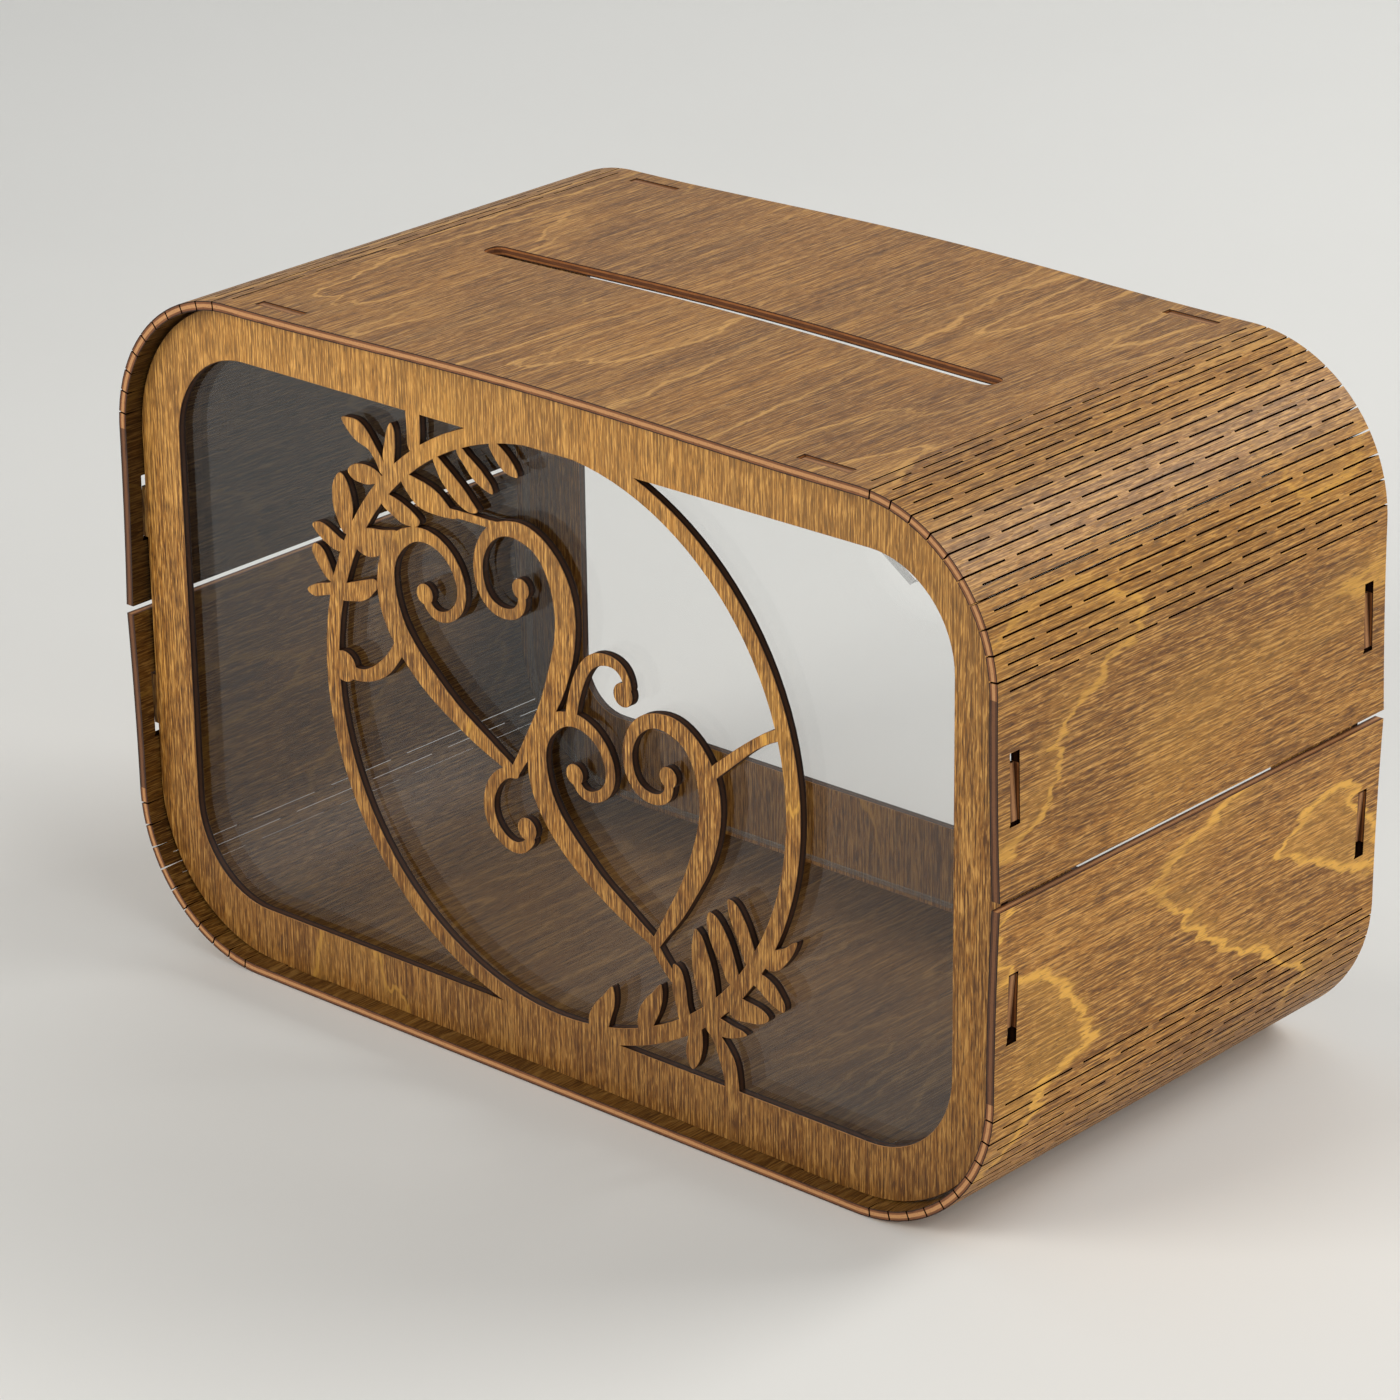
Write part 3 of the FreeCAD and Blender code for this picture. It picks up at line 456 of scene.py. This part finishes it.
def flat_sheet(upper):
    """Top or bottom of the shell between its bends."""
    name = "top_sheet" if upper else "bottom_sheet"
    xs = ordered([-CX + 2 * CX * i / 48 for i in range(49)]
                 + [s * (TAB_X + t * TAB_HALF) for s in (-1, 1) for t in (-1, 1)], -CX, CX)
    ys = ordered([s * (PANEL_MID + t * TAB_HW) for s in (-1, 1) for t in (-1, 1)]
                 + [-60.0, -30.0, 0.0, 30.0, 60.0] + ([-4.0, 4.0] if upper else []), -D / 2, D / 2)
    ends = []
    if upper:
        ends = [100.0 - 3.2 * (1 - math.cos(math.radians(a))) for a in (0, 22.5, 45, 67.5, 90)]
        xs = ordered(list(xs) + [s * e for s in (-1, 1) for e in ends], -CX, CX)
        xs = [x for x in xs if not (96.79 < abs(x) < 100.01) or any(abs(abs(x) - e) < 1e-3 for e in ends)]
    cols = [(x, x) for x in xs]
    gone = set()
    for i in range(len(xs) - 1):
        for j in range(len(ys) - 1):
            x, y = (xs[i] + xs[i + 1]) / 2, (ys[j] + ys[j + 1]) / 2
            if abs(abs(x) - TAB_X) < TAB_HALF and abs(abs(y) - PANEL_MID) < TAB_HW:
                gone.add((i, j))
            if upper and abs(x) < 100.0 and abs(y) < 4.0:
                gone.add((i, j))

    def conform(x, y):
        # the card slot's corners are rounded
        if upper and abs(abs(y) - 4.0) < 1e-6 and abs(x) > 96.8 - 1e-6 and abs(x) <= 100.0 + 1e-6:
            d = abs(x) - 96.8
            y = math.copysign(0.8 + math.sqrt(max(0.0, 3.2 ** 2 - d * d)), y)
        return x, y

    def point(x, y, side):
        z = (H if side == 0 else H - T) if upper else (0.0 if side == 0 else T)
        if upper:
            z += CROWN * math.cos(math.pi / 2 * x / CX) ** 2 * (1.0 + 0.15 * (y / 90.0) ** 2)
            return (x, y, z)
        return (-x, y, z)

    def kind(ni, nj, outside, i, j):
        return EDGE if outside else SLOT

    ob = Sheet(name, cols, ys, gone, point, lambda x: x, mats_for(upper), kind, conform).ob
    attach(ob, "case")
    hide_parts("top_panel" if upper else "bottom_panel")
    return ob


def bend_point(sx, upper):
    def point(a, y, side):
        r = R if side == 0 else R - T
        x = CX + r * math.sin(math.radians(a))
        z = r * math.cos(math.radians(a))
        z = H - R + z if upper else R - z
        return (sx * x, y, z)
    return point


def outward(ob):
    """Faces turned to look out of the sheet."""
    import bmesh
    bm = bmesh.new()
    bm.from_mesh(ob.data)
    bmesh.ops.recalc_face_normals(bm, faces=bm.faces)
    bm.to_mesh(ob.data)
    bm.free()
    return ob


def hinge_strip(stem, sx, upper, lo, hi, nodes, tag):
    """One third of a living-hinge corner, cut through by the staggered kerfs."""
    cols, cuts = [(lo, lo)], {}
    half_out, half_in = math.degrees(0.29 / R), math.degrees((0.008 if upper else 0.05) / (R - T))
    for a, dashes in sorted([(a, DASH_A) for a in LINES_A] + [(a, DASH_B) for a in LINES_B]):
        if lo < a < hi:
            cols.append((a - half_out, a - half_in))
            cuts[len(cols) - 1] = dashes
            cols.append((a + half_out, a + half_in))
    cols.append((hi, hi))
    ys = ordered([v - D / 2 for d in DASH_A + DASH_B for v in d], -D / 2, D / 2)
    gone = set()
    for i, dashes in cuts.items():
        for j in range(len(ys) - 1):
            y = (ys[j] + ys[j + 1]) / 2 + D / 2
            if any(p < y < q for p, q in dashes):
                gone.add((i, j))
    base = CX + 0.0

    def kind(ni, nj, outside, i, j):
        return EDGE if outside else KERF

    ends = {}
    for i, dashes in cuts.items():
        if dashes is DASH_A:
            a = (cols[i][0] + cols[i + 1][0]) / 2
            for c, t in ((cols[i][1], -1), (cols[i + 1][1], 1)):
                ends[round(c, 6)] = a + t * math.degrees(0.26 / (R - T))

    def conform(a, y):
        # a kerf that runs out at the front or back edge is open through the sheet there
        if abs(abs(y) - D / 2) < 1e-6:
            a = ends.get(round(a, 6), a)
        return a, y

    ob = Sheet("%s_bend_%s" % (stem, tag), cols, ys, gone, bend_point(sx, upper),
               lambda a: sx * (base + R * math.radians(a)), mats_for(upper), kind, conform).ob
    outward(ob)
    p = bend_point(sx, upper)
    start = Vector(p(lo, 0.0, 0)) * MM
    end = Vector(p(hi, 0.0, 0)) * MM
    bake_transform(ob)
    if nodes:
        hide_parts(*nodes)
    return ob


def side_sheet(stem, sx, upper):
    """Side flap: flat from the end of the bend to the seam, with slots for the panels' tabs."""
    length = H / 2 - R - SEAM / 2
    slot_lo, slot_hi = H / 2 - R - 43.5, H / 2 - R - 22.0     # along the flap, from the bend
    tab_lo, tab_hi = H / 2 - R - 39.5, H / 2 - R - 23.0
    us = ordered([length * i / 10 for i in range(11)] + [slot_lo, tab_lo, tab_hi, slot_hi], 0.0, length)
    front, rear = -2.55, 1.65                                 # slot sides, from the panel's middle
    ys = ordered([c + t for c in (-PANEL_MID, PANEL_MID) for t in (front, rear)] + [-60.0, -30.0, 0.0, 30.0, 60.0], -D / 2, D / 2)
    gone = set()
    for i in range(len(us) - 1):
        for j in range(len(ys) - 1):
            u, y = (us[i] + us[i + 1]) / 2, (ys[j] + ys[j + 1]) / 2
            if slot_lo < u < slot_hi and any(c + front < y < c + rear for c in (-PANEL_MID, PANEL_MID)):
                gone.add((i, j))

    def point(u, y, side):
        x = W / 2 - (T if side else 0.0) + FLARE * (u / length) ** 2
        z = H - R - u if upper else R + u
        return (sx * x, y, z)

    def conform(u, y):
        # each slot is a little wider at its lower end
        low_end = slot_hi if upper else slot_lo
        if abs(u - low_end) < 1e-4 and any(abs(y - (c + front)) < 1e-4 for c in (-PANEL_MID, PANEL_MID)):
            y -= 0.5
        return u, y

    def kind(ni, nj, outside, i, j):
        if not outside:
            beside_tab = tab_lo - 1e-4 < us[ni] and us[ni + 1] < tab_hi + 1e-4
            return SLOT if j > nj and beside_tab else KERF
        return UPRIGHT if nj < 0 or nj >= len(ys) - 1 else EDGE

    base = CX + R * math.pi / 2
    ob = Sheet(stem + "_flap", [(u, u) for u in us], ys, gone, point, lambda u: sx * (base + u), mats_for(upper), kind, conform).ob
    outward(ob)
    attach(ob, stem + "_side")
    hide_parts(stem + "_side")
    return ob


outward(flat_sheet(True))
outward(flat_sheet(False))
for side_name, sx in (("left", -1), ("right", 1)):
    for level, upper in (("upper", True), ("lower", False)):
        stem = "%s_%s" % (level, side_name)
        hinge_strip(stem, sx, upper, 0.0, 30.0, [stem + "_hinge_a"], "first")
        hinge_strip(stem, sx, upper, 30.0, 60.0, [], "middle")
        hinge_strip(stem, sx, upper, 60.0, 90.0, [stem + "_hinge_b"], "last")
        side_sheet(stem, sx, upper)


# ------------------------------------------------------------------ panels and panes
def softened(node, name, b, mats):
    """The node's plate with its arrises taken off by b, on both faces."""
    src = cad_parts[node].data
    co = np.array([v.co for v in src.vertices], float) / MM
    key = {}
    ids = np.zeros(len(co), int)
    pts = []
    for n, c in enumerate(np.round(co, 4)):
        t = tuple(c)
        if t not in key:
            key[t] = len(pts)
            pts.append(co[n])
        ids[n] = key[t]
    pts = np.array(pts)
    tris = []
    for p in src.polygons:
        f = [int(ids[v]) for v in p.vertices]
        f = [v for i, v in enumerate(f) if v != f[i - 1]]
        if len(f) >= 3:
            tris.append(f)
    y0, y1 = pts[:, 1].min(), pts[:, 1].max()
    verts, faces, slots = [], [], []
    top, mid = {}, {}
    for end, ylev, inward in ((0, y0, 1.0), (1, y1, -1.0)):
        flat = [f for f in tris if all(abs(pts[v][1] - ylev) < 1e-3 for v in f)]
        count = {}
        for f in flat:
            for i in range(len(f)):
                a, c = f[i], f[(i + 1) % len(f)]
                count.setdefault((min(a, c), max(a, c)), []).append((a, c))
        border = [e[0] for e in count.values() if len(e) == 1]
        # inward shift at each border point, from the two border edges that meet there
        push = {}
        for a, c in border:
            d = pts[c] - pts[a]
            length = math.hypot(d[0], d[2])
            if length < 1e-6:
                continue
            # the face lies on the left of a directed border edge in its own winding
            n = np.array([-d[2], 0.0, d[0]]) / length
            f = next(f for f in flat if a in f and c in f)
            inner = np.mean([pts[v] for v in f], axis=0) - pts[a]
            if inner @ n < 0:
                n = -n
            push.setdefault(a, []).append(n)
            push.setdefault(c, []).append(n)
        moved = {}
        for v, ns in push.items():
            m = np.sum(ns, axis=0)
            size = np.linalg.norm(m)
            if size < 1e-6:
                moved[v] = pts[v]
                continue
            m = m / size
            c = max(0.55, float(m @ ns[0]))
            moved[v] = pts[v] + m * (b / c)
        for v in {v for f in flat for v in f}:
            top[(end, v)] = len(verts)
            verts.append(tuple(moved.get(v, pts[v])))
            mid[(end, v)] = len(verts)
            verts.append(tuple(pts[v] + np.array([0.0, inward * b, 0.0])))
        for f in flat:
            faces.append([top[(end, v)] for v in f])
            slots.append(0)
        for a, c in border:
            faces.append([top[(end, c)], top[(end, a)], mid[(end, a)], mid[(end, c)]])
            slots.append(2)
    other = {}

    def wall(v):
        for end, ylev in ((0, y0), (1, y1)):
            if abs(pts[v][1] - ylev) < 1e-3 and (end, v) in mid:
                return mid[(end, v)]
        if v not in other:
            other[v] = len(verts)
            verts.append(tuple(pts[v]))
        return other[v]

    for f in tris:
        if all(abs(pts[v][1] - y0) < 1e-3 for v in f) or all(abs(pts[v][1] - y1) < 1e-3 for v in f):
            continue
        faces.append([wall(v) for v in f])
        slots.append(1)
    if len(mats) > 3:
        # the ends of the tabs, seen in the shell's slots
        for n, f in enumerate(faces):
            if slots[n] == 1:
                c = np.mean([verts[v] for v in f], axis=0)
                if c[2] > H - 0.5 or c[2] < 0.5 or abs(c[0]) > W / 2 - T + 1.0:
                    slots[n] = 3
        # those in the top and bottom lie a little below the sheet's face
        verts = [(x, y, min(max(z, 0.3), H - 0.3)) for x, y, z in verts]
    ob = finish_mesh(name, verts, faces, slots, None, mats)
    outward(ob)
    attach(ob, "case")
    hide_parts(node)
    return ob


softened("front_panel", "fretwork_front", 0.16, [front_face, front_edge_scorch_and_shade, front_rim, front_tab])
softened("back_frame", "rear_frame", 0.16, [back_face, back_edge_scorch_and_shade, back_rim, back_tab])
softened("front_pane", "front_clear_pane", 0.2, [pane_mat, pane_edge, pane_edge])
softened("back_pane", "back_clear_pane", 0.2, [pane_mat, pane_edge, pane_edge])


# ------------------------------------------------------------------ floor, light, camera
def floor_material():
    k = Nodes("pale_floor")
    pos = k.add("ShaderNodeTexCoord").outputs["Object"]
    n = k.noise(k.scaled(pos, 3.0, 3.0, 3.0), 1.0, 3.0, 0.5)
    principled(k, k.mix(n, srgb(226, 226, 223), srgb(232, 232, 229)), 0.6, spec=0.3)
    return k.mat


def sweep_floor():
    """Floor that rises in a wide curve behind the object."""
    prof = [(-3.0, 0.0), (1.3, 0.0)]
    prof += [(1.3 + 0.9 * math.sin(math.radians(a)), 0.9 - 0.9 * math.cos(math.radians(a))) for a in range(5, 91, 5)]
    prof += [(2.2, 4.5)]
    fwd = Vector((-0.6695, 0.7428, 0.0)).normalized()
    right = Vector((fwd.y, -fwd.x, 0.0))
    verts, faces = [], []
    for s in (-5.0, 5.0):
        for d, z in prof:
            p = fwd * d + right * s
            verts.append((p.x, p.y, z - 0.0002))
    n = len(prof)
    for i in range(n - 1):
        faces.append((i, i + 1, n + i + 1, n + i))
    me = bpy.data.meshes.new("floor")
    me.from_pydata(verts, [], faces)
    me.materials.append(floor_material())
    for p in me.polygons:
        p.use_smooth = True
    ob = bpy.data.objects.new("floor", me)
    bpy.context.collection.objects.link(ob)
    return ob


sweep_floor()


def area(name, loc, aim, size, power, colour):
    li = bpy.data.lights.new(name, "AREA")
    li.shape = "RECTANGLE"
    li.size, li.size_y = size
    li.energy = power
    li.color = colour
    ob = bpy.data.objects.new(name, li)
    bpy.context.collection.objects.link(ob)
    ob.location = loc
    d = Vector(aim) - Vector(loc)
    ob.rotation_euler = d.to_track_quat("-Z", "Y").to_euler()
    return ob


area("key", (-0.5, -1.3, 0.72), (0.0, -0.08, 0.17), (0.9, 0.6), 14.5, (1.0, 0.965, 0.91))
area("side", (1.8, -0.2, 0.9), (0.1, 0.0, 0.1), (1.4, 1.2), 13.5, (1.0, 0.975, 0.93))
area("rim", (1.0, 1.6, 1.6), (0.1, 0.1, 0.15), (1.4, 1.0), 31.0, (1.0, 0.985, 0.96))
area("wash", (-1.0, 1.3, 1.6), (-1.0, 1.2, 0.0), (2.4, 1.4), 5.5, (0.97, 0.985, 1.0))

world = bpy.data.worlds.new("soft_room")
world.use_nodes = True
world.node_tree.nodes["Background"].inputs[0].default_value = (0.93, 0.95, 1.0, 1.0)
world.node_tree.nodes["Background"].inputs[1].default_value = 0.25
bpy.context.scene.world = world

cam = bpy.data.cameras.new("camera")
cam.sensor_width = 36.0
cam.lens = 133.917
cam.clip_start, cam.clip_end = 0.05, 50.0
cam_ob = bpy.data.objects.new("camera", cam)
bpy.context.collection.objects.link(cam_ob)
RIGHT = Vector((0.746111965, 0.665706801, -0.012304064))
DOWN = Vector((0.244386081, -0.290999636, -0.924983597))
FORWARD = Vector((-0.61934835, 0.687134388, -0.379807787))
m = Matrix((RIGHT, -DOWN, -FORWARD)).transposed().to_4x4()
m.translation = Vector((0.970663, -1.093869, 0.697388))
cam_ob.matrix_world = m
bpy.context.scene.camera = cam_ob
bpy.context.scene.view_settings.view_transform = "Standard"
